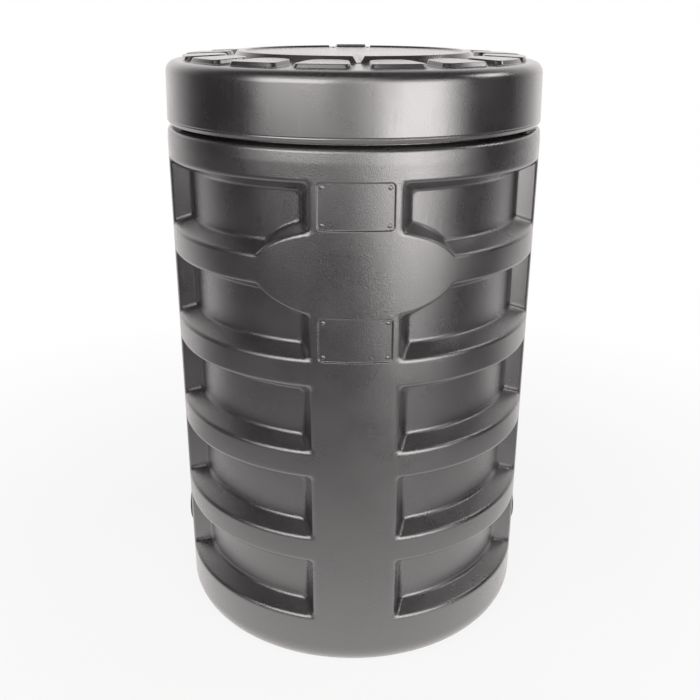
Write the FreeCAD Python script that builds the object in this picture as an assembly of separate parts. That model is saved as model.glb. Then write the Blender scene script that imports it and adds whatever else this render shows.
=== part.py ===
"""Water meter chamber of moulded polyethylene, in millimetres.

The origin is the middle of the flat base, +Z is up and the front faces -Y. The ribbed body is one
moulding, divided here into a base pan, columns, recessed wall panels and a neck that meet face to face.
A loose lid stands on the neck, and a threaded pipe connector goes through the wall on each side.
"""
import FreeCAD, Part
import math
import os

from FreeCAD import Vector

# Body: a straight round wall with a rounded foot
BODY_RADIUS = 280.0
WALL = 6.0
BASE_CORNER_RADIUS = 42.0
BASE_PAN_HEIGHT = 72.0
SHOULDER_RISE = 23.0
SHOULDER_ROUNDING = 9.0

# Recessed panels: rows of pockets between ribs, in bays between columns
BAY_COUNT = 4
ROW_COUNT = 5
ROW_PITCH = 140.0
RIB_FACE = 40.0
COLUMN_WIDTH = 121.0
POCKET_DEPTH = 30.0
LEDGE_DROP = 13.0
SIDE_DRAFT_DEGREES = 17.0
CORNER_ROUNDING = 8.0
FLOOR_ROUNDING = 6.0
MOUTH_ROUNDING = 5.0
SEAM_MARGIN = 2.0

# Oval land on the front, centred on the rib under the top row
OVAL_HALF_LENGTH = 139.0
OVAL_HALF_HEIGHT = 62.0
OVAL_END_DRAW = 0.2

# Sunk plates on the front column, above and below the oval
PLATE_WIDTH = 102.0
PLATE_HEIGHT = 63.0
PLATE_CORNER = 6.0
PLATE_DEPTH = 2.0
PLATE_TO_OVAL_MIDDLE = 90.5

# Neck and lid: the lid stands a little inside the body's side and loosely over the neck
LID_INSET = 1.0
LID_TAPER = 2.5
LID_WALL = 6.0
NECK_CLEARANCE = 2.0
LID_GAP = 5.5
LID_HEIGHT = 87.5
LID_ROUNDING = 16.0
LID_EDGE_ROUNDING = 4.0

# Tread pattern of the lid: a ring of pads on a slightly crowned deck, round a raised middle with a rim,
# which V-shaped grooves cut across; the loose lid stands a little turned on the body
LID_TURN_DEGREES = 1.2
DECK_CROWN = 3.0
PAD_COUNT = 16
PAD_TO_RIM = 9.5
PAD_LENGTH = 61.0
PAD_HEIGHT = 6.0
PAD_GAP = 26.0
PAD_FLARE = 2.5
PAD_CORNER = 8.0
PAD_EDGE = 1.2
MIDDLE_TO_PAD = 12.0
RIM_FACE = 10.0
MIDDLE_HEIGHT = 9.0
MIDDLE_FLARE = 6.0
MIDDLE_EDGE = 2.0
RECESS_DEPTH = 2.5
GROOVE_START = 50.0
GROOVE_WIDTH = 16.0
GROOVE_FOOT = 6.0
GROOVE_DEPTH = 8.0
GROOVE_ANGLES = (-90.0, 79.0, 101.0)
BLOCK_RISE = 1.5

# Pipe connectors
CONNECTOR_TO_SEAM = 64.0
PIPE_BORE_RADIUS = 16.25
SLEEVE_RADIUS = 21.0
SLEEVE_CLEARANCE = 0.2
CONNECTOR_PAD_RADIUS = 36.0
CONNECTOR_PAD_SUNK = 1.5
FLANGE_RADIUS = 31.0
FLANGE_THICKNESS = 6.0
NUT_ACROSS_FLATS = 55.0
NUT_THICKNESS = 4.5

# Places worked out from the sizes above
OVERCUT = 20.0
BAY_ANGLE = 360.0 / BAY_COUNT
LEDGE_SLOPE = LEDGE_DROP / POCKET_DEPTH
SEAM_ANGLE = math.degrees(math.asin((COLUMN_WIDTH / 2 - MOUTH_ROUNDING - SEAM_MARGIN) / BODY_RADIUS))
TOP_SEAM = BASE_PAN_HEIGHT + ROW_COUNT * ROW_PITCH
OVAL_HEIGHT = TOP_SEAM - ROW_PITCH
SHOULDER_TOP = TOP_SEAM + SHOULDER_RISE
LID_BOTTOM_RADIUS = BODY_RADIUS - LID_INSET
LID_TOP_RADIUS = LID_BOTTOM_RADIUS - LID_TAPER
LID_BOTTOM = SHOULDER_TOP + LID_GAP
LID_TOP = LID_BOTTOM + LID_HEIGHT
DECK_UNDERSIDE = LID_TOP - LID_WALL
DECK_RIM = LID_TOP_RADIUS - LID_ROUNDING
NECK_RADIUS = DECK_RIM - NECK_CLEARANCE
PAD_OUTER_RADIUS = DECK_RIM - PAD_TO_RIM
PAD_INNER_RADIUS = PAD_OUTER_RADIUS - PAD_LENGTH
MIDDLE_FOOT = PAD_INNER_RADIUS - MIDDLE_TO_PAD
RIM_OUTER_RADIUS = MIDDLE_FOOT - MIDDLE_FLARE
RIM_INNER_RADIUS = RIM_OUTER_RADIUS - RIM_FACE
CONNECTOR_HEIGHT = BASE_PAN_HEIGHT + CONNECTOR_TO_SEAM
CONNECTOR_PAD_OUTSIDE = BODY_RADIUS - CONNECTOR_PAD_SUNK
CONNECTOR_PAD_INSIDE = BODY_RADIUS - 2 * WALL
NUT_OUTSIDE = CONNECTOR_PAD_OUTSIDE + NUT_THICKNESS
UP = Vector(0, 0, 1)


def polygon(points):
    """A flat face through the points, in order."""
    return Part.Face(Part.makePolygon(list(points) + [points[0]]))


def turned(face, start=0.0, sweep=360.0):
    """A face in the XZ plane turned about Z, from the start angle through the sweep."""
    solid = face.revolve(Vector(0, 0, 0), UP, sweep)
    solid.rotate(Vector(0, 0, 0), UP, start)
    return solid


def ring(inner, outer, low, high, start=0.0, sweep=360.0):
    """A round wall between two radii and two heights."""
    corners = [(inner, low), (outer, low), (outer, high), (inner, high)]
    return turned(polygon([Vector(r, 0, z) for r, z in corners]), start, sweep)


def profile(segments):
    """A face in the XZ plane from a chain of lines (r, z) and arcs ((mid r, z), (end r, z))."""
    edges = []
    here = Vector(segments[0][0], 0, segments[0][1])
    first = here
    for segment in segments[1:]:
        if isinstance(segment[0], tuple):
            middle = Vector(segment[0][0], 0, segment[0][1])
            there = Vector(segment[1][0], 0, segment[1][1])
            edges.append(Part.Arc(here, middle, there).toShape())
        else:
            there = Vector(segment[0], 0, segment[1])
            edges.append(Part.makeLine(here, there))
        here = there
    edges.append(Part.makeLine(here, first))
    return Part.Face(Part.Wire(edges))


def arc_point(centre_r, centre_z, radius, degrees):
    """A point on an arc in the XZ plane, as (r, z)."""
    angle = math.radians(degrees)
    return centre_r + radius * math.cos(angle), centre_z + radius * math.sin(angle)


def radius_of(point):
    return math.hypot(point.x, point.y)


def base_pan():
    """Flat floor with a rounded corner and a short upstand, up to the first seam."""
    centre = BODY_RADIUS - BASE_CORNER_RADIUS
    inner_corner = BASE_CORNER_RADIUS - WALL
    return turned(profile([
        (0, 0),
        (centre, 0),
        (arc_point(centre, BASE_CORNER_RADIUS, BASE_CORNER_RADIUS, -45), (BODY_RADIUS, BASE_CORNER_RADIUS)),
        (BODY_RADIUS, BASE_PAN_HEIGHT),
        (BODY_RADIUS - WALL, BASE_PAN_HEIGHT),
        (BODY_RADIUS - WALL, BASE_CORNER_RADIUS),
        (arc_point(centre, BASE_CORNER_RADIUS, inner_corner, -45), (centre, WALL)),
        (0, WALL),
    ]))


def pocket_block(grow, island=None):
    """The hollow of one pocket, grown all round; the bay's middle is on +X, the lower seam at z = 0."""
    lift = grow * math.hypot(1, LEDGE_SLOPE)
    floor = BODY_RADIUS - POCKET_DEPTH - grow
    mouth = BODY_RADIUS + OVERCUT

    def ledge(r):
        return RIB_FACE / 2 + LEDGE_SLOPE * (BODY_RADIUS - r) - lift

    corners = [(floor, ledge(floor)), (mouth, ledge(mouth)),
               (mouth, ROW_PITCH - ledge(mouth)), (floor, ROW_PITCH - ledge(floor))]
    block = turned(polygon([Vector(r, 0, z) for r, z in corners]), -BAY_ANGLE / 2, BAY_ANGLE)
    block = block.common(bay_prism(grow))
    if island is not None:
        block = block.cut(island)

    def spans(edge):
        ends = sorted(radius_of(vertex.Point) for vertex in edge.Vertexes)
        return ends[0] < BODY_RADIUS < ends[-1]

    block = block.makeFillet(CORNER_ROUNDING + grow, [edge for edge in block.Edges if spans(edge)])
    floor_face = max((face for face in block.Faces if lies_at(face, floor)), key=lambda face: face.Area)
    return block.makeFillet(FLOOR_ROUNDING + grow, floor_face.Edges)


def lies_at(face, radius):
    """Whether a face is a piece of the round wall of that radius."""
    surface = face.Surface
    return isinstance(surface, Part.Cylinder) and abs(surface.Radius - radius) < 1e-6


def bay_prism(grow):
    """Upright wedge between the drafted side walls of a bay's pockets."""
    draft = math.radians(SIDE_DRAFT_DEGREES)
    turn = math.radians(BAY_ANGLE / 2)
    half_width = COLUMN_WIDTH / 2
    mouth_u = math.sqrt(BODY_RADIUS ** 2 - half_width ** 2) - grow * math.sin(draft)
    mouth_w = half_width - grow * math.cos(draft)

    def side_point(inward):
        u = mouth_u - inward * math.cos(draft)
        w = mouth_w + inward * math.sin(draft)
        return (u * math.cos(turn) + w * math.sin(turn), u * math.sin(turn) - w * math.cos(turn))

    inner_x, inner_y = side_point(POCKET_DEPTH * 3)
    outer_x, outer_y = side_point(-OVERCUT * 3)
    far_x = BODY_RADIUS + OVERCUT * 3
    corners = [(inner_x, inner_y), (outer_x, outer_y), (far_x, outer_y)]
    outline = [Vector(x, y, 0) for x, y in corners] + [Vector(x, -y, 0) for x, y in reversed(corners)]
    face = polygon(outline)
    face.translate(Vector(0, 0, -ROW_PITCH))
    return face.extrude(Vector(0, 0, ROW_PITCH * 3))


def wall_panel(island=None, island_core=None):
    """One pocket with half a rib above and below it, its middle on +X and its lower seam at z = 0."""
    sweep = BAY_ANGLE - 2 * SEAM_ANGLE
    innermost = BODY_RADIUS - POCKET_DEPTH - 2 * WALL
    blank = ring(innermost, BODY_RADIUS, 0, ROW_PITCH, -sweep / 2, sweep)
    core = Part.makeCylinder(BODY_RADIUS - WALL, ROW_PITCH * 3, Vector(0, 0, -ROW_PITCH))
    core = core.cut(pocket_block(WALL, island_core))
    panel = blank.cut(core).cut(pocket_block(0, island))

    def at_mouth(edge):
        box = edge.BoundBox
        inside = box.ZMin > 1 and box.ZMax < ROW_PITCH - 1
        middle = edge.valueAt((edge.FirstParameter + edge.LastParameter) / 2)
        beyond = abs(math.degrees(math.atan2(middle.y, middle.x))) > sweep / 2 - 0.01
        return inside and not beyond and abs(radius_of(middle) - BODY_RADIUS) < 0.01

    return panel.makeFillet(MOUTH_ROUNDING, [edge for edge in panel.Edges if at_mouth(edge)])


def oval_land(shrink):
    """Oval land that stands in the front pockets, shrunk by the wall for the back of that wall.

    Its long sides slope like the ledges. Its ends draw in a little towards the back, which on the round wall
    still leaves them sloping outwards.
    """
    sag = BODY_RADIUS - math.sqrt(BODY_RADIUS ** 2 - OVAL_HALF_LENGTH ** 2)
    end_inset = shrink * math.hypot(1, OVAL_END_DRAW)
    side_inset = shrink * math.hypot(1, LEDGE_SLOPE)
    wires = []
    for depth in (-OVERCUT, POCKET_DEPTH * 4):
        y = depth - BODY_RADIUS
        half_length = OVAL_HALF_LENGTH - OVAL_END_DRAW * (depth - sag) - end_inset
        half_height = OVAL_HALF_HEIGHT + LEDGE_SLOPE * depth - side_inset
        oval = Part.Ellipse(Vector(half_length, y, OVAL_HEIGHT), Vector(0, y, OVAL_HEIGHT + half_height),
                            Vector(0, y, OVAL_HEIGHT))
        wires.append(Part.Wire(oval.toShape()))
    return Part.makeLoft(wires, True, True)


def placed(shape, angle, height):
    """A copy turned about Z and lifted."""
    copy = shape.copy()
    copy.rotate(Vector(0, 0, 0), UP, angle)
    copy.translate(Vector(0, 0, height))
    return copy


def in_bay(shape, angle, height):
    """A placed shape brought back into the frame of the panel at that angle and height."""
    copy = shape.copy()
    copy.translate(Vector(0, 0, -height))
    copy.rotate(Vector(0, 0, 0), UP, -angle)
    return copy


def column(angle):
    """Plain upright strip of wall between two bays."""
    start = angle - SEAM_ANGLE
    return ring(BODY_RADIUS - WALL, BODY_RADIUS, BASE_PAN_HEIGHT, TOP_SEAM, start, 2 * SEAM_ANGLE)


def sunk_plate(centre_height):
    """Hollow of a shallow rounded plate on the front column."""
    face = polygon([
        Vector(x * PLATE_WIDTH / 2, -BODY_RADIUS - OVERCUT, centre_height + z * PLATE_HEIGHT / 2)
        for x, z in ((-1, -1), (1, -1), (1, 1), (-1, 1))
    ])
    block = face.extrude(Vector(0, BODY_RADIUS, 0))
    corners = [edge for edge in block.Edges if edge.BoundBox.YLength > 1]
    block = block.makeFillet(PLATE_CORNER, corners)
    floor = BODY_RADIUS - PLATE_DEPTH
    return block.cut(Part.makeCylinder(floor, TOP_SEAM))


def front_column():
    solid = column(-90)
    for centre in (OVAL_HEIGHT + PLATE_TO_OVAL_MIDDLE, OVAL_HEIGHT - PLATE_TO_OVAL_MIDDLE):
        solid = solid.cut(sunk_plate(centre))
    return solid


def along_x(radius, start, end):
    """A cylinder along X at the connectors' height."""
    return Part.makeCylinder(radius, end - start, Vector(start, 0, CONNECTOR_HEIGHT), Vector(1, 0, 0))


def right_column():
    """Column with a flat pad, inside and out, for the connector to clamp on."""
    solid = column(0).fuse(along_x(CONNECTOR_PAD_RADIUS, CONNECTOR_PAD_INSIDE, CONNECTOR_PAD_OUTSIDE))
    solid = solid.cut(along_x(CONNECTOR_PAD_RADIUS, CONNECTOR_PAD_OUTSIDE, NUT_OUTSIDE))
    return solid.cut(along_x(SLEEVE_RADIUS + SLEEVE_CLEARANCE, 0, NUT_OUTSIDE)).removeSplitter()


def right_sleeve():
    """Threaded sleeve with a flange on the inside of the wall."""
    sleeve = along_x(SLEEVE_RADIUS, CONNECTOR_PAD_INSIDE - FLANGE_THICKNESS, NUT_OUTSIDE)
    flange = along_x(FLANGE_RADIUS, CONNECTOR_PAD_INSIDE - FLANGE_THICKNESS, CONNECTOR_PAD_INSIDE)
    return sleeve.fuse(flange).cut(along_x(PIPE_BORE_RADIUS, 0, NUT_OUTSIDE + WALL)).removeSplitter()


def right_nut():
    """Hexagon nut on the outside, one edge to the front."""
    corner = NUT_ACROSS_FLATS / math.sqrt(3)
    points = [Vector(CONNECTOR_PAD_OUTSIDE, corner * math.cos(math.radians(60 * i)),
                     CONNECTOR_HEIGHT + corner * math.sin(math.radians(60 * i))) for i in range(6)]
    nut = polygon(points).extrude(Vector(NUT_THICKNESS, 0, 0))
    return nut.cut(along_x(SLEEVE_RADIUS + SLEEVE_CLEARANCE, 0, NUT_OUTSIDE + WALL))


def shoulder_neck():
    """Rounded shoulder and the upright neck that carries the lid."""
    inner = BODY_RADIUS - WALL
    rounding_r = BODY_RADIUS - SHOULDER_ROUNDING
    rounding_z = SHOULDER_TOP - SHOULDER_ROUNDING
    return turned(profile([
        (inner, TOP_SEAM),
        (BODY_RADIUS, TOP_SEAM),
        (BODY_RADIUS, rounding_z),
        (arc_point(rounding_r, rounding_z, SHOULDER_ROUNDING, 45), (rounding_r, SHOULDER_TOP)),
        (NECK_RADIUS, SHOULDER_TOP),
        (NECK_RADIUS, DECK_UNDERSIDE),
        (NECK_RADIUS - WALL, DECK_UNDERSIDE),
        (NECK_RADIUS - WALL, SHOULDER_TOP - WALL),
        (inner, SHOULDER_TOP - WALL),
    ]))


def lid_skirt():
    """Upright side of the lid, with a rounded lower edge and a slight taper."""
    seam = LID_TOP - LID_ROUNDING
    edge_r = LID_BOTTOM_RADIUS - LID_EDGE_ROUNDING
    edge_z = LID_BOTTOM + LID_EDGE_ROUNDING
    return turned(profile([
        (LID_TOP_RADIUS - LID_WALL, seam),
        (LID_BOTTOM_RADIUS - LID_WALL, LID_BOTTOM),
        (edge_r, LID_BOTTOM),
        (arc_point(edge_r, edge_z, LID_EDGE_ROUNDING, -45), (LID_BOTTOM_RADIUS, edge_z)),
        (LID_TOP_RADIUS, seam),
    ]))


def deck_height(r):
    """Height of the crowned deck at a radius between its rim and the foot of the raised middle."""
    return LID_TOP + DECK_CROWN * (DECK_RIM - r) / (DECK_RIM - MIDDLE_FOOT)


def tread_pad():
    """One raised pad of the outer ring with drafted ends and rounded corners, its middle on +X."""
    sunk = LID_WALL / 2
    slant = PAD_FLARE * (PAD_HEIGHT + sunk) / PAD_HEIGHT
    foot_inner = PAD_INNER_RADIUS - slant
    foot_outer = PAD_OUTER_RADIUS + slant
    pad = turned(polygon([
        Vector(foot_inner, 0, deck_height(foot_inner) - sunk),
        Vector(foot_outer, 0, deck_height(foot_outer) - sunk),
        Vector(PAD_OUTER_RADIUS, 0, deck_height(PAD_OUTER_RADIUS) + PAD_HEIGHT),
        Vector(PAD_INNER_RADIUS, 0, deck_height(PAD_INNER_RADIUS) + PAD_HEIGHT),
    ]), -180 / PAD_COUNT, 360 / PAD_COUNT)
    half = math.radians(180 / PAD_COUNT)
    outline = []
    for r in (PAD_INNER_RADIUS - PAD_GAP, PAD_OUTER_RADIUS + PAD_GAP):
        outline.append((r, r * math.tan(half) - PAD_GAP / 2 / math.cos(half)))
    (x0, y0), (x1, y1) = outline
    wedge = polygon([Vector(x0, -y0, 0), Vector(x1, -y1, 0), Vector(x1, y1, 0), Vector(x0, y0, 0)])
    pad = pad.common(wedge.extrude(Vector(0, 0, LID_TOP * 2)))
    corners = [edge for edge in pad.Edges if edge.BoundBox.ZLength > PAD_HEIGHT]
    pad = pad.makeFillet(PAD_CORNER, corners)
    top = max(pad.Faces, key=lambda face: face.CenterOfMass.z)
    return pad.makeFillet(PAD_EDGE, top.Edges)


def raised_middle():
    """Raised middle of the lid with a low rim, cut by V-shaped grooves and higher between the rear two."""
    foot = LID_TOP + DECK_CROWN
    top = foot + MIDDLE_HEIGHT
    recess = top - RECESS_DEPTH
    lower_slant = MIDDLE_FLARE * LID_WALL / 2 / MIDDLE_HEIGHT
    recess_slant = MIDDLE_FLARE * RECESS_DEPTH / MIDDLE_HEIGHT
    solid = turned(profile([
        (0, foot - LID_WALL / 2),
        (MIDDLE_FOOT + lower_slant, foot - LID_WALL / 2),
        (RIM_OUTER_RADIUS, top),
        (RIM_INNER_RADIUS, top),
        (RIM_INNER_RADIUS - recess_slant, recess),
        (0, recess),
    ]))
    rims = [edge for edge in solid.Edges if edge.BoundBox.ZMin > top - MIDDLE_EDGE]
    solid = solid.makeFillet(MIDDLE_EDGE, rims)
    block = ring(RIM_INNER_RADIUS + MIDDLE_EDGE, RIM_OUTER_RADIUS - MIDDLE_EDGE, recess, top + BLOCK_RISE,
                 GROOVE_ANGLES[1], GROOVE_ANGLES[2] - GROOVE_ANGLES[1])
    solid = solid.fuse(block)
    floor = top - GROOVE_DEPTH
    side_slope = (GROOVE_WIDTH - GROOVE_FOOT) / 2 / GROOVE_DEPTH
    mouth = GROOVE_WIDTH / 2 + side_slope * GROOVE_DEPTH
    corners = [(-GROOVE_FOOT / 2, floor), (GROOVE_FOOT / 2, floor),
               (mouth, top + GROOVE_DEPTH), (-mouth, top + GROOVE_DEPTH)]
    groove = polygon([Vector(GROOVE_START, y, z) for y, z in corners]).extrude(Vector(MIDDLE_FOOT, 0, 0))
    for angle in GROOVE_ANGLES:
        solid = solid.cut(placed(groove, angle, 0))
    return solid


def lid_deck():
    """Crowned top of the lid with its rounded rim, tread pads and raised middle."""
    seam = LID_TOP - LID_ROUNDING
    inner = LID_ROUNDING - LID_WALL
    deck = turned(profile([
        (0, DECK_UNDERSIDE),
        (DECK_RIM, DECK_UNDERSIDE),
        (arc_point(DECK_RIM, seam, inner, 45), (LID_TOP_RADIUS - LID_WALL, seam)),
        (LID_TOP_RADIUS, seam),
        (arc_point(DECK_RIM, seam, LID_ROUNDING, 45), (DECK_RIM, LID_TOP)),
        (MIDDLE_FOOT, LID_TOP + DECK_CROWN),
        (0, LID_TOP + DECK_CROWN),
    ]))
    pad = tread_pad()
    pitch = 360 / PAD_COUNT
    pads = [placed(pad, -90 + pitch * (i + 0.5), 0) for i in range(PAD_COUNT)]
    deck = deck.multiFuse(pads + [raised_middle()]).removeSplitter()
    return placed(deck, LID_TURN_DEGREES, 0)


def save(name, shape):
    solid = shape.Solids[0] if len(shape.Solids) == 1 else shape
    solid.exportStep("parts/" + name + ".step")
    print(name, len(shape.Solids), shape.isValid(), round(shape.Volume / 1e3, 1))


def mirrored(shape):
    """The same piece on the left."""
    return shape.mirror(Vector(0, 0, 0), Vector(1, 0, 0))


os.makedirs("parts", exist_ok=True)

save("base_pan", base_pan())
save("front_column", front_column())
save("back_column", column(90))
save("right_column", right_column())
save("left_column", mirrored(right_column()))

plain_panel = wall_panel()
bay_names = ("front_right", "back_right", "back_left", "front_left")
bays = {name: BAY_ANGLE * (i - 0.5) for i, name in enumerate(bay_names)}
for row in range(ROW_COUNT):
    seam = BASE_PAN_HEIGHT + row * ROW_PITCH
    beside_oval = row >= ROW_COUNT - 2
    for bay, angle in bays.items():
        name = f"{bay}_panel_{row + 1}"
        if beside_oval and bay.startswith("front"):
            continue
        save(name, placed(plain_panel, angle, seam))
    if beside_oval:
        angle = bays["front_right"]
        panel = wall_panel(in_bay(oval_land(0), angle, seam), in_bay(oval_land(WALL), angle, seam))
        panel = placed(panel, angle, seam)
        save(f"front_right_panel_{row + 1}", panel)
        save(f"front_left_panel_{row + 1}", mirrored(panel))

save("shoulder_neck", shoulder_neck())
save("right_sleeve", right_sleeve())
save("left_sleeve", mirrored(right_sleeve()))
save("right_nut", right_nut())
save("left_nut", mirrored(right_nut()))
save("lid_skirt", lid_skirt())
save("lid_deck", lid_deck())
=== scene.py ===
import bmesh
import bpy
import math
from mathutils import Matrix, Vector


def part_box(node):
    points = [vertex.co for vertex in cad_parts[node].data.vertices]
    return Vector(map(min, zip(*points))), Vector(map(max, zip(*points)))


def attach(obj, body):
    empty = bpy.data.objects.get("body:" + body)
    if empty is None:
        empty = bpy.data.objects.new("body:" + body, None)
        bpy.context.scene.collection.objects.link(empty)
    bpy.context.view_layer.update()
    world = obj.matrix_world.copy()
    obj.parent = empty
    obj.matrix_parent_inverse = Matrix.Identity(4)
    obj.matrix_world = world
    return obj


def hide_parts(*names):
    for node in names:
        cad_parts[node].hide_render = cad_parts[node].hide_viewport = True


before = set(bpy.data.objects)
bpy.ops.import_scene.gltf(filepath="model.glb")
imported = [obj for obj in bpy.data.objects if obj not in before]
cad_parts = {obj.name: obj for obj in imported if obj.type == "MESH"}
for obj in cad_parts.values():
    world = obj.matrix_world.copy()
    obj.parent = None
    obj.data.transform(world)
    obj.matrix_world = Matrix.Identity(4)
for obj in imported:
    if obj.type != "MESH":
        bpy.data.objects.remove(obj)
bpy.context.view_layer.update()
bpy.ops.object.select_all(action="DESELECT")


# Body: one rotational moulding of black polyethylene, about 6 mm thick all over.
# The mould presses rows of drafted pockets into a plain round wall, an oval land and two sunk plates at the
# front, and a flat boss with a hole on each side. The wall is laid out flat, stamped, and then wrapped round.
body_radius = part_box("base_pan")[1].x
wall_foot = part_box("front_column")[0].z
wall_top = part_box("front_column")[1].z
neck_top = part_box("shoulder_neck")[1].z
connector_height = (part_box("right_nut")[0].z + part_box("right_nut")[1].z) / 2
wall = 0.006
turn_steps = 144
row_count = 5
oval_rows = 2
bay_count = 4
row_pitch = (wall_top - wall_foot) / row_count
rib_face = 0.040
column_width = 0.121
pocket_depth = 0.030
ledge_run = 0.013
side_run = 0.0194
pocket_corner = 0.008
mouth_rounding = 0.0075
foot_rounding = 0.0075
corner_steps = 6
section_steps = 4
inner_grow = 0.0039
inner_mouth = 0.001
oval_half_arc = 0.1455
oval_half_height = 0.062
oval_end_run = 0.0105
oval_steps = 24
plate_width = 0.102
plate_height = 0.063
plate_corner = 0.006
plate_depth = 0.002
plate_run = 0.0014
plate_rounding = 0.0012
plate_offset = 0.0905
rivet_radius = 0.0032
rivet_height = 0.0015
rivet_inset = 0.0070
rivet_steps = 20
boss_radius = 0.036
boss_sunk = 0.0015
boss_hole = 0.0212
boss_steps = 48
base_corner = 0.042
shoulder_rounding = 0.006
shoulder_lean = 0.0012
shoulder_lean_start = 0.005
shoulder_lean_rounding = 0.08
shoulder_rise = 0.023
neck_radius = 0.2585
neck_foot = 0.003
neck_lip = 0.002
arc_step = 11
least_arc_steps = 3
seam_gap = 1e-6
joint_gap = 1e-5
body_crease = 34

# The boss's rounded edge: how far each loop lies outside the boss's radius, and its share of the boss's rise.
boss_edge = ((0.004, 0.0), (0.0012, 0.18), (0.0002, 0.55), (-0.0003, 0.85), (-0.0012, 1.0))

oval_height = wall_top - row_pitch
shoulder_top = wall_top + shoulder_rise
half_rise = (row_pitch - rib_face) / 2
bay_middle = body_radius * math.pi / bay_count
bay_half_arc = body_radius * (math.pi / bay_count - math.asin(column_width / 2 / body_radius))
half_turn = math.pi * body_radius


def rounded_corner(come, corner, go, radius, steps):
    """Points of an arc that rounds a corner, between the direction it is reached in and the one it is left in."""
    come = come.normalized()
    go = go.normalized()
    turn = math.atan2(come.x * go.y - come.y * go.x, come.dot(go))
    inward = Vector((-come.y, come.x)) * math.copysign(radius, turn)
    centre = corner - come * radius * math.tan(abs(turn) / 2) + inward
    return [centre + Matrix.Rotation(turn * i / steps, 2) @ -inward for i in range(steps + 1)]


def rounded_loop(corners, radius):
    """A closed outline through the corners, each of them rounded."""
    points = []
    for i, corner in enumerate(corners):
        after = corners[(i + 1) % len(corners)]
        points += rounded_corner(corner - corners[i - 1], corner, after - corner, radius, corner_steps)
    return points


def rectangle(half_width, half_height):
    """The corners of a rectangle about the origin."""
    return [Vector((half_width * x, half_height * y)) for x, y in ((-1, -1), (1, -1), (1, 1), (-1, 1))]


def recess_section(depth, run, mouth, foot):
    """Cross-section of a drafted recess, as pairs of (share of the run, depth), rounded at mouth and foot."""
    turn = math.pi / 2 - math.atan2(run, depth)
    section = []
    for i in range(section_steps + 1):
        angle = turn * i / section_steps
        inset = mouth * (math.sin(angle) - math.tan(turn / 2))
        section.append((inset / run, mouth * (1 - math.cos(angle))))
    for i in range(section_steps + 1):
        angle = turn * (1 - i / section_steps)
        inset = run + foot * (math.tan(turn / 2) - math.sin(angle))
        section.append((inset / run, depth - foot * (1 - math.cos(angle))))
    return section


def bridged(mesh, loops):
    """Adds the faces between each closed loop of points and the next."""
    for before, after in zip(loops, loops[1:]):
        for i in range(len(before)):
            mesh.faces.new((before[i - 1], before[i], after[i], after[i - 1]))


def loop_edges(mesh, loop):
    """The edges of a closed loop of points."""
    return [mesh.edges.get((loop[i - 1], loop[i])) for i in range(len(loop))]


def stamp(sheet, outline, section, land):
    """Stamps a recess into a flat sheet, one loop for each step of its section, and gives its mouth's edges."""
    loops = []
    for share, depth in section:
        loops.append([sheet.verts.new((point.x, land + depth, point.y)) for point in outline(share)])
    bridged(sheet, loops)
    sheet.faces.new(loops[-1])
    return loop_edges(sheet, loops[0])


def plain_pocket(centre, grow, corner):
    """Outline of a four-sided pocket, by the share of its draft."""
    def outline(share):
        corners = rectangle(bay_half_arc - side_run * share + grow, half_rise - ledge_run * share + grow)
        return [point + centre for point in rounded_loop(corners, corner)]
    return outline


def oval_pocket(side, above, grow, corner):
    """Outline of a pocket that the oval land bites into, right or left of the front and above or below the oval."""
    def outline(share):
        near = bay_middle - bay_half_arc + side_run * share - grow
        far = bay_middle + bay_half_arc - side_run * share + grow
        low = rib_face / 2 + ledge_run * share - grow
        high = row_pitch - rib_face / 2 - ledge_run * share + grow
        a = oval_half_arc + oval_end_run * share - grow
        b = oval_half_height + ledge_run * share - grow
        start = math.acos(near / a)
        end = math.asin(low / b)

        def on_oval(angle):
            return Vector((a * math.cos(angle), b * math.sin(angle)))

        def along(angle):
            return Vector((a * math.sin(angle), -b * math.cos(angle)))

        up = Vector((0, 1))
        right = Vector((1, 0))
        entry = rounded_corner(-up, on_oval(start), along(start), corner, corner_steps)
        leave = rounded_corner(along(end), on_oval(end), right, corner, corner_steps)
        first = start - (entry[-1] - on_oval(start)).length / along(start).length
        last = end + (leave[0] - on_oval(end)).length / along(end).length
        points = rounded_corner(right, Vector((far, low)), up, corner, corner_steps)
        points += rounded_corner(up, Vector((far, high)), -right, corner, corner_steps)
        points += rounded_corner(-right, Vector((near, high)), -up, corner, corner_steps)
        points += entry
        points += [on_oval(first + (last - first) * i / oval_steps) for i in range(1, oval_steps)]
        points += leave
        return [Vector((side * p.x, oval_height + above * p.y)) for p in points]
    return outline


def plate_outline(centre):
    """Outline of a sunk plate on the front column, by the share of its draft."""
    def outline(share):
        inset = plate_run * share
        corners = rectangle(plate_width / 2 - inset, plate_height / 2 - inset)
        return [point + centre for point in rounded_loop(corners, plate_corner - inset)]
    return outline


def add_rivets(sheet, middle, land):
    """A flat round rivet head in each corner of a sunk plate."""
    flat = Matrix.Diagonal((1, rivet_height / rivet_radius, 1, 1))
    for corner in rectangle(plate_width / 2 - rivet_inset, plate_height / 2 - rivet_inset):
        place = Matrix.Translation((corner.x, land + plate_depth, middle.y + corner.y))
        bmesh.ops.create_uvsphere(sheet, u_segments=rivet_steps, v_segments=rivet_steps // 2, radius=rivet_radius,
                                  matrix=place @ flat)


def add_boss(sheet, centre_arc, face, land):
    """A flat round boss with an open hole in the curved wall: gives its outer edges."""
    loops = []
    for radius, share in [(boss_radius + step, share) for step, share in boss_edge] + [(boss_hole, 1.0)]:
        loop = []
        for i in range(boss_steps):
            angle = 2 * math.pi * i / boss_steps
            arc = radius * math.cos(angle)
            flat = body_radius - face / math.cos(arc / body_radius)
            place = (centre_arc + arc, land + (flat - land) * share, connector_height + radius * math.sin(angle))
            loop.append(sheet.verts.new(place))
        loops.append(loop)
    bridged(sheet, loops)
    return loop_edges(sheet, loops[0])


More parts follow.
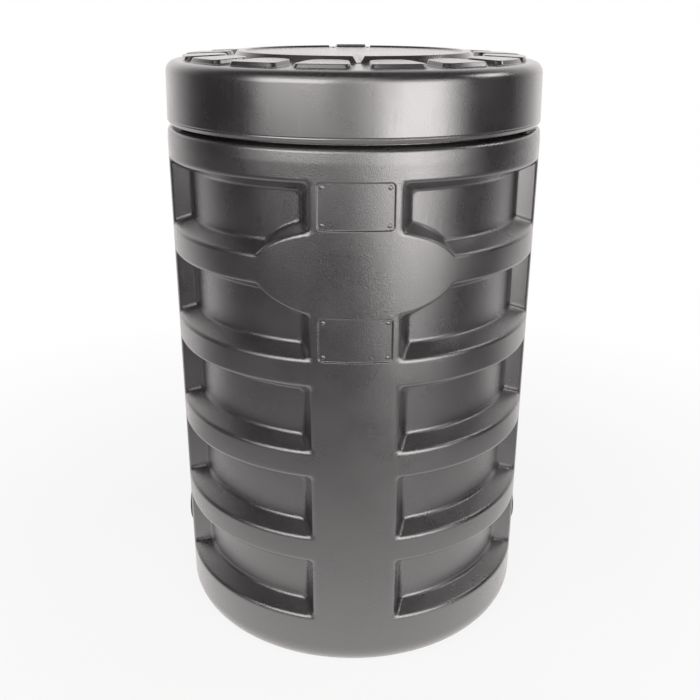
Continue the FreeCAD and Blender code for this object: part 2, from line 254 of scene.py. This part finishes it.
def from_bmesh(name, built):
    """A new piece from a mesh that has been built up point by point."""
    mesh = bpy.data.meshes.new(name)
    built.to_mesh(mesh)
    built.free()
    piece = bpy.data.objects.new(name, mesh)
    bpy.context.collection.objects.link(piece)
    return piece


def wall_sheet(name, land, grow, corner, mouth, foot, with_plates):
    """The wall laid out flat: x along its girth from the front, y inwards, z up; stamped, then wrapped round."""
    sheet = bmesh.new()
    ends = ((-half_turn, wall_foot), (half_turn, wall_foot), (half_turn, wall_top), (-half_turn, wall_top))
    rim = [sheet.verts.new((x, land, z)) for x, z in ends]
    edges = [sheet.edges.new((rim[i - 1], rim[i])) for i in range(len(rim))]
    section = recess_section(pocket_depth, ledge_run, mouth, foot)
    for row in range(row_count):
        height = wall_foot + row_pitch * (row + 0.5)
        for bay in range(bay_count):
            arc = 2 * half_turn / bay_count * (bay - 1.5)
            if row >= row_count - oval_rows and abs(arc) < half_turn / 2:
                outline = oval_pocket(math.copysign(1, arc), math.copysign(1, height - oval_height), grow, corner)
            else:
                outline = plain_pocket(Vector((arc, height)), grow, corner)
            edges += stamp(sheet, outline, section, land)
    if with_plates:
        section = recess_section(plate_depth, plate_run, plate_rounding, plate_rounding)
        for offset in (plate_offset, -plate_offset):
            middle = Vector((0, oval_height + offset))
            edges += stamp(sheet, plate_outline(middle), section, land)
            add_rivets(sheet, middle, land)
    face = body_radius - boss_sunk if land == 0 else body_radius - 2 * wall
    for side in (-1, 1):
        edges += add_boss(sheet, side * half_turn / 2, face, land)
    bmesh.ops.triangle_fill(sheet, use_beauty=True, edges=edges, normal=(0, -1, 0))
    for step in range(1, turn_steps):
        everything = sheet.verts[:] + sheet.edges[:] + sheet.faces[:]
        cut = Vector((-half_turn + 2 * half_turn * step / turn_steps, 0, 0))
        bmesh.ops.bisect_plane(sheet, geom=everything, dist=seam_gap, plane_co=cut, plane_no=(1, 0, 0))
    for vertex in sheet.verts:
        turn = vertex.co.x / body_radius
        radius = body_radius - vertex.co.y
        vertex.co = (radius * math.sin(turn), -radius * math.cos(turn), vertex.co.z)
    return from_bmesh(name, sheet)


def rounded_path(points):
    """An open path of (radius, height) points from (radius, height, rounding) corners."""
    path = []
    for i, (r, z, rounding) in enumerate(points):
        corner = Vector((r, z))
        if rounding == 0:
            path.append(corner)
            continue
        come = corner - Vector(points[i - 1][:2])
        go = Vector(points[i + 1][:2]) - corner
        steps = max(least_arc_steps, math.ceil(math.degrees(come.angle(go)) / arc_step))
        path += rounded_corner(come, corner, go, rounding, steps)
    return path


def pick(piece):
    """Selects one piece alone and makes it the active one."""
    bpy.ops.object.select_all(action="DESELECT")
    piece.select_set(True)
    bpy.context.view_layer.objects.active = piece


def close_up(gap):
    """In edit mode, merges the points that meet and turns the faces outwards, and then leaves it."""
    bpy.ops.mesh.select_all(action="SELECT")
    bpy.ops.mesh.remove_doubles(threshold=gap)
    bpy.ops.mesh.normals_make_consistent(inside=False)
    bpy.ops.object.mode_set(mode="OBJECT")


def spun(name, path, steps=turn_steps):
    """A round wall made by spinning a path of (radius, height) points about the upright axis."""
    mesh = bpy.data.meshes.new(name)
    mesh.from_pydata([(0, -point.x, point.y) for point in path], [(i, i + 1) for i in range(len(path) - 1)], [])
    piece = bpy.data.objects.new(name, mesh)
    bpy.context.collection.objects.link(piece)
    pick(piece)
    bpy.ops.object.mode_set(mode="EDIT")
    bpy.ops.mesh.select_all(action="SELECT")
    bpy.ops.mesh.spin(steps=steps, angle=2 * math.pi, center=(0, 0, 0), axis=(0, 0, 1))
    close_up(seam_gap)
    return piece


def joined(name, pieces):
    """One piece from several, with the points that meet merged and the faces turned outwards."""
    pick(pieces[0])
    for piece in pieces:
        piece.select_set(True)
    bpy.ops.object.join()
    pieces[0].name = name
    bpy.ops.object.mode_set(mode="EDIT")
    close_up(joint_gap)
    return pieces[0]


def finished(piece, crease):
    """Smooth shading up to an angle in degrees, with normals that keep the large faces flat."""
    pick(piece)
    bpy.ops.object.shade_smooth_by_angle(angle=math.radians(crease))
    weighted = piece.modifiers.new("even_normals", "WEIGHTED_NORMAL")
    weighted.keep_sharp = True
    bpy.ops.object.modifier_apply(modifier=weighted.name)


outer_wall = wall_sheet("outer_wall", land=0.0, grow=0.0, corner=pocket_corner, mouth=mouth_rounding,
                        foot=foot_rounding, with_plates=True)
inner_wall = wall_sheet("inner_wall", land=wall, grow=inner_grow, corner=pocket_corner + wall, mouth=inner_mouth,
                        foot=foot_rounding + wall, with_plates=False)
outer_base = spun("outer_base", rounded_path([
    (body_radius, wall_foot, 0),
    (body_radius, 0, base_corner),
    (0, 0, 0)]))
inner_base = spun("inner_base", rounded_path([
    (body_radius - wall, wall_foot, 0),
    (body_radius - wall, wall, base_corner - wall),
    (0, wall, 0)]))
neck = spun("neck", rounded_path([
    (body_radius, wall_top, 0),
    (body_radius, wall_top + shoulder_lean_start, shoulder_lean_rounding),
    (body_radius - shoulder_lean, shoulder_top, shoulder_rounding),
    (neck_radius, shoulder_top, neck_foot),
    (neck_radius, neck_top, neck_lip),
    (neck_radius - wall, neck_top, neck_lip),
    (neck_radius - wall, shoulder_top - wall, neck_foot),
    (body_radius - wall, shoulder_top - wall, neck_foot),
    (body_radius - wall, wall_top, 0)]))
body = joined("body_moulding", [outer_wall, inner_wall, outer_base, inner_base, neck])

# The edges still open are those of the two holes, outside and inside: each pair is bridged through the wall.
bpy.ops.object.mode_set(mode="EDIT")
bpy.ops.mesh.select_mode(type="EDGE")
for side in (-1, 1):
    bpy.ops.mesh.select_all(action="DESELECT")
    bpy.ops.mesh.select_non_manifold(extend=False, use_wire=False, use_boundary=True, use_multi_face=False,
                                     use_non_contiguous=False, use_verts=False)
    edit = bmesh.from_edit_mesh(body.data)
    for edge in edit.edges:
        edge.select_set(edge.select and edge.verts[0].co.x * side > 0)
    bmesh.update_edit_mesh(body.data)
    bpy.ops.mesh.bridge_edge_loops()
bpy.ops.mesh.select_all(action="SELECT")
bpy.ops.mesh.normals_make_consistent(inside=False)
bpy.ops.object.mode_set(mode="OBJECT")
finished(body, body_crease)

noise_roughness = 0.55
mottle_lift = 1.35
scuff_roughness = 0.15
streak_roughness = 0.25
grain_depth = 0.001
specular_level = 1.0
coat_index = 1.7
coat_roughness = 0.2


def node(tree, kind, inputs=None, **settings):
    """Adds a shader node, with its settings and its inputs' values or links."""
    made = tree.nodes.new(kind)
    for name, value in settings.items():
        setattr(made, name, value)
    for name, value in (inputs or {}).items():
        if isinstance(value, bpy.types.NodeSocket):
            tree.links.new(value, made.inputs[name])
        else:
            made.inputs[name].default_value = value
    return made


def in_range(tree, value, low, high):
    """A smooth mask that goes from 0 to 1 between two values."""
    return node(tree, "ShaderNodeMapRange", {"Value": value, "From Min": low, "From Max": high},
                interpolation_type="SMOOTHSTEP").outputs["Result"]


def graded(tree, value, low, high, low_level, high_level):
    """A level that goes evenly from one figure to another between two values."""
    return node(tree, "ShaderNodeMapRange", {"Value": value, "From Min": low, "From Max": high, "To Min": low_level,
                                             "To Max": high_level}).outputs["Result"]


def worked(tree, operation, *values):
    """The result of one sum."""
    return node(tree, "ShaderNodeMath", dict(enumerate(values)), operation=operation).outputs["Value"]


def mixed_colour(tree, share, first, second):
    """A colour that goes from the first to the second with the share."""
    return node(tree, "ShaderNodeMix", {"Factor": share, 6: first, 7: second}, data_type="RGBA").outputs[2]


def noise(tree, place, scale, detail):
    return node(tree, "ShaderNodeTexNoise", {"Vector": place, "Scale": scale, "Detail": detail,
                                             "Roughness": noise_roughness}).outputs["Fac"]


def lines_along(tree, place, stretch, turn, low, high):
    """A mask of fine lines that run along the axis with the smallest stretch."""
    drawn = node(tree, "ShaderNodeMapping", {"Vector": place, "Scale": stretch, "Rotation": turn}).outputs["Vector"]
    return in_range(tree, noise(tree, drawn, scale=1.0, detail=3.0), low, high)


skin = bpy.data.node_groups.new("moulded_skin", "ShaderNodeTree")
for socket_name in ("Grain", "Waviness", "Scuffs", "Streaks", "Dust_And_Highlight_Amount"):
    skin.interface.new_socket(socket_name, in_out="INPUT", socket_type="NodeSocketFloat")
for socket_name in ("Height", "Mottle", "Scuffed", "Streaked", "Dust_And_Highlight"):
    skin.interface.new_socket(socket_name, in_out="OUTPUT", socket_type="NodeSocketFloat")
skin_in = skin.nodes.new("NodeGroupInput").outputs
skin_place = node(skin, "ShaderNodeTexCoord").outputs["Object"]

pebbles = noise(skin, skin_place, scale=skin_in["Grain"], detail=2.5)
waves = worked(skin, "MULTIPLY", noise(skin, skin_place, scale=16.0, detail=1.5), skin_in["Waviness"])
skin_height = worked(skin, "ADD", pebbles, waves)
mottle = in_range(skin, noise(skin, skin_place, scale=15.0, detail=5.0), low=0.3, high=0.7)

upright_scuffs = lines_along(skin, skin_place, stretch=(150, 150, 5), turn=(0, 0, 0), low=0.66, high=0.75)
level_scuffs = lines_along(skin, skin_place, stretch=(9, 9, 240), turn=(0.05, 0.09, 0.4), low=0.66, high=0.75)
scuff_patches = in_range(skin, noise(skin, skin_place, scale=6.0, detail=2.0), low=0.5, high=0.68)
scuffs_here = worked(skin, "MULTIPLY", worked(skin, "MAXIMUM", upright_scuffs, level_scuffs), scuff_patches)
scuffed = worked(skin, "MULTIPLY", scuffs_here, skin_in["Scuffs"])

streak_lines = lines_along(skin, skin_place, stretch=(210, 210, 5), turn=(0, 0, 0), low=0.48, high=0.72)
streak_patches = in_range(skin, noise(skin, skin_place, scale=11.0, detail=2.0), low=0.42, high=0.66)
streaked = worked(skin, "MULTIPLY", worked(skin, "MULTIPLY", streak_lines, streak_patches), skin_in["Streaks"])

# Upward faces are painted paler in patches, partly a dusting and partly a painted highlight; small specks are added
# too.
skin_normal = node(skin, "ShaderNodeNewGeometry").outputs["Normal"]
facing_up = node(skin, "ShaderNodeSeparateXYZ", {"Vector": skin_normal}).outputs["Z"]
dust_and_highlight_patches = in_range(skin, noise(skin, skin_place, scale=190.0, detail=4.0), low=0.4, high=0.75)
top_dust_and_highlight = worked(skin, "MULTIPLY", in_range(skin, facing_up, low=0.25, high=0.9), dust_and_highlight_patches)
cells = node(skin, "ShaderNodeTexVoronoi", {"Vector": skin_place, "Scale": 34.0})
cell_pick = node(skin, "ShaderNodeSeparateColor", {"Color": cells.outputs["Color"]}).outputs["Red"]
speck_spots = in_range(skin, cells.outputs["Distance"], low=0.055, high=0.03)
specks = worked(skin, "MULTIPLY", speck_spots, in_range(skin, cell_pick, low=0.78, high=0.8))
dust_and_painted_highlight = worked(skin, "MULTIPLY", worked(skin, "MAXIMUM", top_dust_and_highlight, specks), skin_in["Dust_And_Highlight_Amount"])

skin_out = skin.nodes.new("NodeGroupOutput").inputs
for socket_name, value in (("Height", skin_height), ("Mottle", mottle), ("Scuffed", scuffed),
                           ("Streaked", streaked), ("Dust_And_Highlight", dust_and_painted_highlight)):
    skin.links.new(value, skin_out[socket_name])


def moulded_plastic(name, deep, worn, dust_and_highlight_colour, grain, waviness, scuffs, streaks, dust_and_highlight_amount, gloss, matt, bump, index,
                    coat):
    """Black polyethylene as it leaves the mould: pebbled, a little uneven, with scuffs, and paler upward faces that
    are partly a dusting and partly a painted highlight.
    """
    made = bpy.data.materials.new(name)
    made.use_nodes = True
    tree = made.node_tree
    shader = tree.nodes["Principled BSDF"].inputs
    look = node(tree, "ShaderNodeGroup", {"Grain": grain, "Waviness": waviness, "Scuffs": scuffs,
                                          "Streaks": streaks, "Dust_And_Highlight_Amount": dust_and_highlight_amount}, node_tree=skin).outputs
    lifted = [value * mottle_lift for value in deep]
    tone = mixed_colour(tree, look["Mottle"], (*deep, 1), (*lifted, 1))
    scratched = mixed_colour(tree, look["Scuffed"], tone, (*worn, 1))
    # The paler tone on upward faces is partly a dusting and partly a painted highlight.
    dusted_and_highlighted = mixed_colour(tree, look["Dust_And_Highlight"], scratched, (*dust_and_highlight_colour, 1))
    rough = graded(tree, look["Mottle"], 0.0, 1.0, gloss, matt)
    rougher = worked(tree, "MULTIPLY_ADD", look["Scuffed"], scuff_roughness, rough)
    duller = worked(tree, "MULTIPLY_ADD", look["Streaked"], streak_roughness, rougher)
    shine = worked(tree, "MULTIPLY_ADD", look["Streaked"], -coat, coat)
    relief = node(tree, "ShaderNodeBump", {"Height": look["Height"], "Strength": bump,
                                           "Distance": grain_depth}).outputs["Normal"]
    for socket_name, value in (("Base Color", dusted_and_highlighted), ("Roughness", duller), ("Coat Weight", shine),
                               ("Normal", relief), ("Coat Normal", relief)):
        tree.links.new(value, shader[socket_name])
    shader["IOR"].default_value = index
    shader["Specular IOR Level"].default_value = specular_level
    shader["Coat IOR"].default_value = coat_index
    shader["Coat Roughness"].default_value = coat_roughness
    return made


# Upward faces are painted paler: partly a dusting, partly a painted highlight.
body_plastic = moulded_plastic(
    "body_polyethylene", deep=(0.017, 0.016, 0.016), worn=(0.12, 0.115, 0.11), dust_and_highlight_colour=(0.20, 0.19, 0.18),
    grain=760.0, waviness=0.9, scuffs=0.2, streaks=0.05, dust_and_highlight_amount=0.14, gloss=0.26, matt=0.34, bump=0.36,
    index=1.7, coat=1.0)
body.data.materials.clear()
body.data.materials.append(body_plastic)

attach(body, "chamber")
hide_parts("base_pan", "front_column", "right_column", "back_column", "left_column", "shoulder_neck",
            *[f"{bay}_panel_{row + 1}" for bay in ("front_right", "back_right", "back_left", "front_left")
              for row in range(row_count)])


# Pipe connectors: a threaded sleeve of black plastic pushed through each boss from the inside, where its flange
# bears on the wall, and a thin hexagon nut that draws it tight outside. A pipe is pushed into the bore.
connector_steps = 72
connector_crease = 30
sleeve_radius = 0.021
sleeve_bore = 0.01625
sleeve_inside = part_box("right_sleeve")[0].x
sleeve_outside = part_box("right_sleeve")[1].x
sleeve_rounding = 0.0008
bore_chamfer = 0.001
flange_radius = 0.031
flange_thickness = 0.006
flange_foot = 0.0006
flange_rounding = 0.0012
thread_pitch = 0.0023
thread_depth = 0.0011
thread_margin = 0.004
nut_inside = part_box("right_nut")[0].x
nut_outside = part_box("right_nut")[1].x
nut_flat = (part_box("right_nut")[1].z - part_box("right_nut")[0].z) / 2
nut_chamfer = math.radians(20)
nut_face = nut_flat * 0.96
nut_side_turn = 60

bore_start = sleeve_inside + thread_margin
bore_turns = int((sleeve_outside - thread_margin - bore_start) / thread_pitch)
bore = []
for i in range(bore_turns):
    here = bore_start + thread_pitch * i
    bore += [(sleeve_bore, here, 0), (sleeve_bore + thread_depth, here + thread_pitch / 2, 0)]
sleeve = spun("right_sleeve_threaded", rounded_path([
    (sleeve_bore, sleeve_inside + bore_chamfer, 0),
    *bore,
    (sleeve_bore, sleeve_outside - bore_chamfer, 0),
    (sleeve_bore + bore_chamfer, sleeve_outside, 0),
    (sleeve_radius, sleeve_outside, sleeve_rounding),
    (sleeve_radius, sleeve_inside + flange_thickness, flange_foot),
    (flange_radius, sleeve_inside + flange_thickness, flange_foot),
    (flange_radius, sleeve_inside, flange_rounding),
    (sleeve_bore + bore_chamfer, sleeve_inside, 0),
    (sleeve_bore, sleeve_inside + bore_chamfer, 0)]), connector_steps)


def nut_section(angle):
    """The nut's cross-section at an angle, as (radius, height) points: a hexagon with a round chamfer outside."""
    to_flat = math.degrees(angle) % nut_side_turn - nut_side_turn / 2
    hexagon = nut_flat / math.cos(math.radians(to_flat))
    drop = max(0.0, hexagon - nut_face) * math.tan(nut_chamfer)
    return ((sleeve_radius, nut_inside), (hexagon, nut_inside), (hexagon, nut_outside - drop),
            (nut_face, nut_outside), (sleeve_radius, nut_outside))


nut_mesh = bmesh.new()
nut_angles = [2 * math.pi * i / connector_steps for i in range(connector_steps)]
nut_loops = []
for ring in zip(*[nut_section(angle) for angle in nut_angles]):
    nut_loops.append([nut_mesh.verts.new((radius * math.cos(angle), radius * math.sin(angle), height))
                      for angle, (radius, height) in zip(nut_angles, ring)])
bridged(nut_mesh, [nut_loops[-1], *nut_loops])
nut = from_bmesh("right_nut_hexagon", nut_mesh)

# Upward faces are painted paler: partly a dusting, partly a painted highlight.
connector_plastic = moulded_plastic(
    "connector_plastic", deep=(0.024, 0.024, 0.025), worn=(0.14, 0.14, 0.14), dust_and_highlight_colour=(0.16, 0.155, 0.15),
    grain=900.0, waviness=0.3, scuffs=0.3, streaks=0.1, dust_and_highlight_amount=0.2, gloss=0.36, matt=0.46, bump=0.12,
    index=1.35, coat=0.0)
up_to_right = Matrix(((0, 0, 1, 0), (1, 0, 0, 0), (0, 1, 0, 0), (0, 0, 0, 1)))
lay_down = Matrix.Translation((0, 0, connector_height)) @ up_to_right
for right_piece, stands_for in ((sleeve, "sleeve"), (nut, "nut")):
    right_piece.data.transform(lay_down)
    left_data = right_piece.data.copy()
    left_data.transform(Matrix.Scale(-1, 4, (1, 0, 0)))
    left_piece = bpy.data.objects.new(right_piece.name.replace("right", "left"), left_data)
    bpy.context.collection.objects.link(left_piece)
    for piece, side in ((right_piece, "right"), (left_piece, "left")):
        joined(piece.name, [piece])
        finished(piece, connector_crease)
        piece.data.materials.clear()
        piece.data.materials.append(connector_plastic)
        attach(piece, "chamber")
        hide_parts(f"{side}_{stands_for}")


# Lid: a loose cap of the same black polyethylene that stands on the neck and is lifted off by hand.
# Its crowned top has sixteen tread pads round a raised middle with a low rim, which V-shaped grooves cut across.
lid_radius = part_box("lid_skirt")[1].x
lid_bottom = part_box("lid_skirt")[0].z
lid_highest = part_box("lid_deck")[1].z
lid_turn = math.radians(1.2)
lid_taper = 0.0025
lid_wall = 0.006
lid_rounding = 0.016
lid_crown = 0.003
lid_bead_height = 0.0055
lid_bead_run = 0.0032
lid_bead_rounding = 0.0012
lid_foot_outside = 0.002
lid_foot_inside = 0.001
lid_groove_depth = 0.0006
lid_groove_floor = 0.0070
lid_groove_top = 0.0084
lid_groove_run = 0.0002
lid_groove_rounding = 0.0003
lid_crease = 34
middle_height = 0.009
middle_foot = 0.178
middle_foot_rounding = 0.003
rim_outer = 0.172
rim_inner = 0.162
rim_edge = 0.002
rim_inner_edge = 0.0012
recess_depth = 0.0025
recess_run = 0.0017
recess_rounding = 0.0015
block_rise = 0.0015
block_edge = 0.0006
block_steps = 12
pad_count = 16
pad_inner = 0.190
pad_outer = 0.251
pad_gap = 0.026
pad_corner = 0.008
pad_inner_corner = 0.020
pad_height = 0.006
pad_foot = 0.0002
pad_flare = 0.0025
pad_edge = 0.0016
pad_skirt = 0.002
pad_arc_steps = 8
groove_start = 0.050
groove_start_rise = 0.0002
groove_full = 0.135
groove_end = middle_foot + pad_gap / 2
groove_depth = 0.008
groove_rise = 2 * groove_depth
deck_rim = lid_radius - lid_taper - lid_rounding
middle_top = lid_highest - block_rise
recess_level = middle_top - recess_depth
groove_floor = middle_top - groove_depth
lid_top = middle_top - middle_height - lid_crown
lid_underside = lid_top - lid_wall

# Each groove's angle in degrees, its width at the top and its width at the foot.
front_groove = (-90, 0.016, 0.006)
right_rear_groove = (80.3, 0.009, 0.003)
left_rear_groove = (100.6, 0.014, 0.005)


def deck_level(radius):
    """Height of the crowned deck at a radius."""
    return lid_top + lid_crown * (deck_rim - radius) / (deck_rim - middle_foot)


lid = spun("lid_moulding", rounded_path([
    (0, recess_level, 0),
    (rim_inner - recess_run, recess_level, recess_rounding),
    (rim_inner, middle_top, rim_inner_edge),
    (rim_outer, middle_top, rim_edge),
    (middle_foot, deck_level(middle_foot), middle_foot_rounding),
    (lid_radius - lid_taper, deck_level(lid_radius - lid_taper), lid_rounding),
    (lid_radius - lid_groove_run, lid_bottom + lid_groove_top, lid_groove_rounding),
    (lid_radius - lid_groove_depth, lid_bottom + lid_groove_floor, lid_groove_rounding),
    (lid_radius, lid_bottom + lid_bead_height, lid_bead_rounding),
    (lid_radius - lid_bead_run, lid_bottom, lid_foot_outside),
    (lid_radius - lid_wall, lid_bottom, lid_foot_inside),
    (lid_radius - lid_taper - lid_wall, lid_underside, lid_rounding - lid_wall),
    (0, lid_underside, 0)]))


def pad_outline(grow):
    """Outline of the tread pad on +X, grown all round: two arcs and two sides that run along the gaps."""
    half = math.pi / pad_count
    inner = pad_inner - grow
    outer = pad_outer + grow
    inner_turn = half - math.asin((pad_gap / 2 - grow) / inner)
    outer_turn = half - math.asin((pad_gap / 2 - grow) / outer)
    upper = Vector((math.cos(half), math.sin(half)))
    lower = Vector((math.cos(half), -math.sin(half)))

    def at(radius, turn):
        return Vector((radius * math.cos(turn), radius * math.sin(turn)))

    def tangent(turn):
        return Vector((-math.sin(turn), math.cos(turn)))

    def arc(first, last, radius):
        start = math.atan2(first.y, first.x)
        end = math.atan2(last.y, last.x)
        return [at(radius, start + (end - start) * i / pad_arc_steps) for i in range(1, pad_arc_steps)]

    corner_a = rounded_corner(tangent(outer_turn), at(outer, outer_turn), -upper, pad_corner, corner_steps)
    corner_b = rounded_corner(-upper, at(inner, inner_turn), -tangent(inner_turn), pad_inner_corner, corner_steps)
    corner_c = rounded_corner(-tangent(-inner_turn), at(inner, -inner_turn), lower, pad_inner_corner, corner_steps)
    corner_d = rounded_corner(lower, at(outer, -outer_turn), tangent(-outer_turn), pad_corner, corner_steps)
    return (corner_a + corner_b + arc(corner_b[-1], corner_c[0], inner) + corner_c + corner_d
            + arc(corner_d[-1], corner_a[0], outer))


pad_section = [Vector((pad_flare + pad_skirt, -lid_wall / 2))] + rounded_path([
    (pad_flare + pad_skirt, pad_foot, 0),
    (pad_flare, pad_foot, pad_edge),
    (0, pad_height, pad_edge),
    (-pad_skirt, pad_height, 0)])
pad_mesh = bmesh.new()
for pad in range(pad_count):
    turn = Matrix.Rotation(lid_turn - math.pi / 2 + 2 * math.pi * (pad + 0.5) / pad_count, 3, "Z")
    loops = []
    for grow, rise in pad_section:
        loops.append([pad_mesh.verts.new(turn @ Vector((p.x, p.y, deck_level(p.length) + rise)))
                      for p in pad_outline(grow)])
    bridged(pad_mesh, loops)
    pad_mesh.faces.new(loops[-1])
    pad_mesh.faces.new(list(reversed(loops[0])))
pads = from_bmesh("tread_pads", pad_mesh)

groove_mesh = bmesh.new()
for angle, width, foot in (front_groove, right_rear_groove, left_rear_groove):
    turn = Matrix.Rotation(lid_turn + math.radians(angle), 3, "Z")
    half_mouth = foot / 2 + (width - foot) / 2 / groove_depth * groove_rise
    section = ((-foot / 2, 0), (foot / 2, 0), (half_mouth, groove_rise), (-half_mouth, groove_rise))
    loops = []
    for radius, level in ((groove_start, recess_level + groove_start_rise), (groove_full, groove_floor),
                          (groove_end, groove_floor)):
        loops.append([groove_mesh.verts.new(turn @ Vector((radius, y, level + z))) for y, z in section])
    bridged(groove_mesh, loops)
    groove_mesh.faces.new(list(reversed(loops[0])))
    groove_mesh.faces.new(loops[-1])
grooves = from_bmesh("grooves", groove_mesh)

block_mesh = bmesh.new()
block_inner = rim_inner + rim_edge
block_outer = rim_outer - rim_edge
block_section = ((block_inner, recess_level), (block_inner, lid_highest - block_edge),
                 (block_inner + block_edge, lid_highest), (block_outer - block_edge, lid_highest),
                 (block_outer, lid_highest - block_edge), (block_outer, recess_level))
block_start = right_rear_groove[0]
block_end = left_rear_groove[0]
loops = []
for i in range(block_steps + 1):
    turn = lid_turn + math.radians(block_start + (block_end - block_start) * i / block_steps)
    loops.append([block_mesh.verts.new((r * math.cos(turn), r * math.sin(turn), z)) for r, z in block_section])
bridged(block_mesh, loops)
block_mesh.faces.new(loops[0])
block_mesh.faces.new(list(reversed(loops[-1])))
block = from_bmesh("rear_block", block_mesh)

for tool, action in ((block, "UNION"), (grooves, "DIFFERENCE"), (pads, "UNION")):
    joined(tool.name, [tool])
    pick(lid)
    shape = lid.modifiers.new(tool.name, "BOOLEAN")
    shape.operation = action
    shape.object = tool
    shape.solver = "EXACT"
    bpy.ops.object.modifier_apply(modifier=shape.name)
    bpy.data.objects.remove(tool)
finished(lid, lid_crease)
# Upward faces are painted paler: partly a dusting, partly a painted highlight.
lid_plastic = moulded_plastic(
    "lid_polyethylene", deep=(0.017, 0.016, 0.016), worn=(0.12, 0.115, 0.11), dust_and_highlight_colour=(0.22, 0.21, 0.20),
    grain=700.0, waviness=0.5, scuffs=0.5, streaks=0.3, dust_and_highlight_amount=0.15, gloss=0.24, matt=0.32, bump=0.12,
    index=1.7, coat=1.0)
lid.data.materials.clear()
lid.data.materials.append(lid_plastic)

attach(lid, "lid")
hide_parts("lid_skirt", "lid_deck")


# Studio: a pale floor that keeps the chamber's shadow, a white backdrop made by the world alone, soft boxes, and
# the photograph's camera, which stands a little above the lid and looks down at the front.
# On each side a small soft box shines inside a large weak one, so that reflections have soft edges.
floor_size = 5.0
floor_chalk = (0.8, 0.8, 0.8, 1)
studio_white = (1, 1, 1, 1)
studio_warmth = (1.0, 0.96, 0.96, 1)
wash_start = 0.5
wash_end = 1.5
wash_near = 0.86
wash_far = 1.0
reflection_start = 0.36
reflection_end = 1.23
reflection_near = 1.0
reflection_far = 0.16
sweep_end = 0.5
sweep_level = 0.85
backdrop_start = 0.3
backdrop_end = 0.8
backdrop_dim = 0.04
backdrop_full = 1.0
camera_distance = 1.4136
camera_height = 0.9622
camera_azimuth = math.radians(-0.7)
camera_tilt = math.radians(20.865)
camera_roll = 0.0048
camera_sensor = 36.0
camera_lens = 46.56
camera_shift = -0.004

bpy.ops.mesh.primitive_plane_add(size=floor_size, location=(0, 0, 0))
floor = bpy.context.object
floor.name = "studio_floor"
floor_paint = bpy.data.materials.new("studio_floor")
floor_paint.use_nodes = True
tree = floor_paint.node_tree
tree.nodes.remove(tree.nodes["Principled BSDF"])
ray = node(tree, "ShaderNodeLightPath").outputs
place = node(tree, "ShaderNodeTexCoord").outputs["Object"]
away = node(tree, "ShaderNodeVectorMath", {0: place}, operation="LENGTH").outputs["Value"]
washed = graded(tree, away, wash_start, wash_end, wash_near, wash_far)
seen_share = worked(tree, "MULTIPLY", ray["Is Camera Ray"], washed)
white_share = worked(tree, "MAXIMUM", seen_share, ray["Is Glossy Ray"])
fading = graded(tree, away, reflection_start, reflection_end, reflection_near, reflection_far)
depth = node(tree, "ShaderNodeSeparateXYZ", {"Vector": place}).outputs["Y"]
behind = graded(tree, depth, 0.0, sweep_end, 0.0, sweep_level)
paleness = worked(tree, "MAXIMUM", ray["Is Camera Ray"], worked(tree, "MAXIMUM", fading, behind))
warmth = mixed_colour(tree, ray["Is Camera Ray"], studio_warmth, studio_white)
chalk = node(tree, "ShaderNodeBsdfDiffuse", {"Color": floor_chalk}).outputs["BSDF"]
white = node(tree, "ShaderNodeEmission", {"Color": warmth, "Strength": paleness}).outputs["Emission"]
surface = node(tree, "ShaderNodeMixShader", {0: white_share, 1: chalk, 2: white}).outputs["Shader"]
tree.links.new(surface, tree.nodes["Material Output"].inputs["Surface"])
floor.data.materials.append(floor_paint)

world = bpy.data.worlds.new("studio")
world.use_nodes = True
tree = world.node_tree
seen = node(tree, "ShaderNodeLightPath").outputs["Is Camera Ray"]
toward = node(tree, "ShaderNodeTexCoord").outputs["Generated"]
depth = node(tree, "ShaderNodeSeparateXYZ", {"Vector": toward}).outputs["Y"]
backdrop = graded(tree, depth, backdrop_start, backdrop_end, backdrop_dim, backdrop_full)
shade = tree.nodes["Background"].inputs
tree.links.new(worked(tree, "MAXIMUM", seen, backdrop), shade["Strength"])
tree.links.new(mixed_colour(tree, seen, studio_warmth, studio_white), shade["Color"])
bpy.context.scene.world = world
bpy.context.scene.view_settings.view_transform = "Standard"

# Area lamps that look at the chamber's axis: azimuth from the front round to the right, elevation, distance, the
# height looked at, width, height and power.
for name, azimuth, elevation, distance, aim_height, width, height, power in (
        ("right_soft_box", 32.5, 0, 2.0, 1.115, 2.17, 1.53, 15.5),
        ("right_middle", 33, 0, 2.0, 0.66, 1.25, 1.28, 12.7),
        ("left_soft_box", -24.5, 22.5, 2.3, 0.85, 2.93, 2.6, 24.5),
        ("left_middle", -35, 17, 2.3, 0.85, 1.77, 1.23, 19),
        ("side_soft_box", 92, 31, 2.3, 0.85, 0.7, 0.6, 6)):
    turn = math.radians(azimuth)
    rise = math.radians(elevation)
    lamp = bpy.data.lights.new(name, "AREA")
    lamp.shape = "RECTANGLE"
    lamp.size = width
    lamp.size_y = height
    lamp.energy = power
    lamp.color = studio_warmth[:3]
    place = Vector((math.sin(turn) * math.cos(rise), -math.cos(turn) * math.cos(rise), math.sin(rise))) * distance
    holder = bpy.data.objects.new(name, lamp)
    holder.location = place + Vector((0, 0, aim_height))
    holder.rotation_euler = (-place).to_track_quat("-Z", "Y").to_euler()
    holder.visible_camera = False
    bpy.context.collection.objects.link(holder)

camera_data = bpy.data.cameras.new("photo_camera")
camera_data.sensor_width = camera_sensor
camera_data.lens = camera_lens
camera_data.shift_x = camera_shift
camera = bpy.data.objects.new("photo_camera", camera_data)
bpy.context.collection.objects.link(camera)
aim = (Matrix.Rotation(camera_azimuth, 4, "Z") @ Matrix.Rotation(math.pi / 2 - camera_tilt, 4, "X")
       @ Matrix.Rotation(camera_roll, 4, "Z"))
aim.translation = (camera_distance * math.sin(camera_azimuth), -camera_distance * math.cos(camera_azimuth),
                   camera_height)
camera.matrix_world = aim
bpy.context.scene.camera = camera
